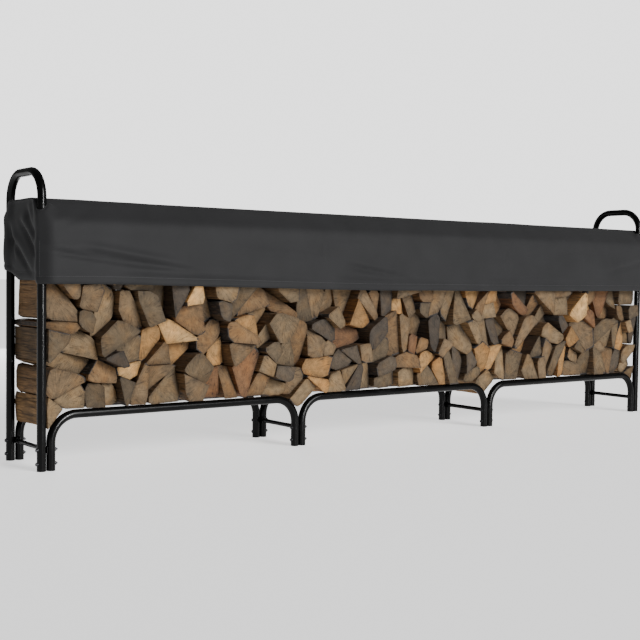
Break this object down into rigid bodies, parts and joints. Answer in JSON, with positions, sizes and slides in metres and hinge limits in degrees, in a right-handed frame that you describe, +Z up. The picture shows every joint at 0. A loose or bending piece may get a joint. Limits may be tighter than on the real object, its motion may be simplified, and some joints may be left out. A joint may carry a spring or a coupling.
{
  "type": "covered firewood log store",
  "caption": "Long open steel-tube firewood rack in bays with bent-down legs, end hoops, a stack of split logs and a fitted black fabric cover over its upper part.",
  "frame": {"origin": "on the ground at the centre of the rack's footprint", "axes": "+X along the rack to the right-hand end, +Y from front to back, +Z up"},
  "size_m": [3.665, 0.417, 1.1675],
  "materials": {
    "black_steel": "black powder coat, semi-gloss",
    "firewood": "split and sawn hardwood, seasoned, bark left on",
    "cover_fabric": "black coated polyester, satin"
  },
  "bodies": {
    "root": {"cover_back_drop": "cover_fabric", "cover_back_slope": "cover_fabric", "cover_crown": "cover_fabric", "cover_front_drop": "cover_fabric", "cover_front_slope": "cover_fabric", "cover_left_end": "cover_fabric", "cover_left_gable": "cover_fabric", "cover_right_end": "cover_fabric", "cover_right_gable": "cover_fabric", "left_bay_back_rail": "black_steel", "left_bay_bottom_logs": "firewood", "left_bay_front_rail": "black_steel", "left_bay_lower_logs": "firewood", "left_bay_top_logs": "firewood", "left_bay_upper_logs": "firewood", "left_end_crossbar": "black_steel", "left_end_hoop": "black_steel", "left_inner_crossbar": "black_steel", "middle_bay_back_rail": "black_steel", "middle_bay_bottom_logs": "firewood", "middle_bay_front_rail": "black_steel", "middle_bay_lower_logs": "firewood", "middle_bay_top_logs": "firewood", "middle_bay_upper_logs": "firewood", "right_bay_back_rail": "black_steel", "right_bay_bottom_logs": "firewood", "right_bay_front_rail": "black_steel", "right_bay_lower_logs": "firewood", "right_bay_top_logs": "firewood", "right_bay_upper_logs": "firewood", "right_end_crossbar": "black_steel", "right_end_hoop": "black_steel", "right_inner_crossbar": "black_steel"}
  },
  "joints": []
}
